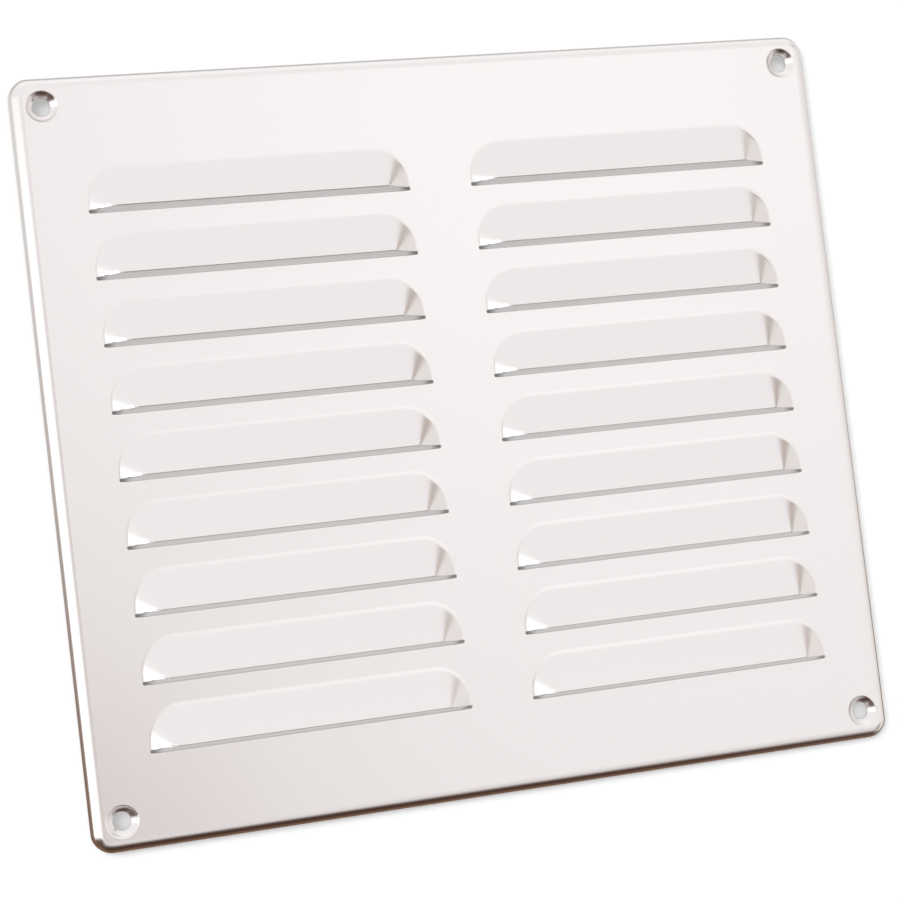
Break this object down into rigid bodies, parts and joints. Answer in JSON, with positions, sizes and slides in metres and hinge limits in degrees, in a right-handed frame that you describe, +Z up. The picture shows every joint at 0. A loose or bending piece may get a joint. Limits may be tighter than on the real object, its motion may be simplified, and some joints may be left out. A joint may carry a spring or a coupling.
{
  "type": "louvred vent grille",
  "caption": "Pressed-sheet wall ventilator: a shallow tray with rounded edges, columns of hooded louvres that open downward, and a dished screw hole in each corner.",
  "frame": {"origin": "middle of the back rim, on the wall plane", "axes": "+X along the width, +Y into the wall, +Z up; the hoods stand out towards -Y and open downward"},
  "size_m": [0.257, 0.01, 0.229],
  "materials": {
    "satin_aluminium": "satin silver anodised sheet, fine-grained"
  },
  "bodies": {
    "root": {"louvre_plate": "satin_aluminium"}
  },
  "joints": []
}
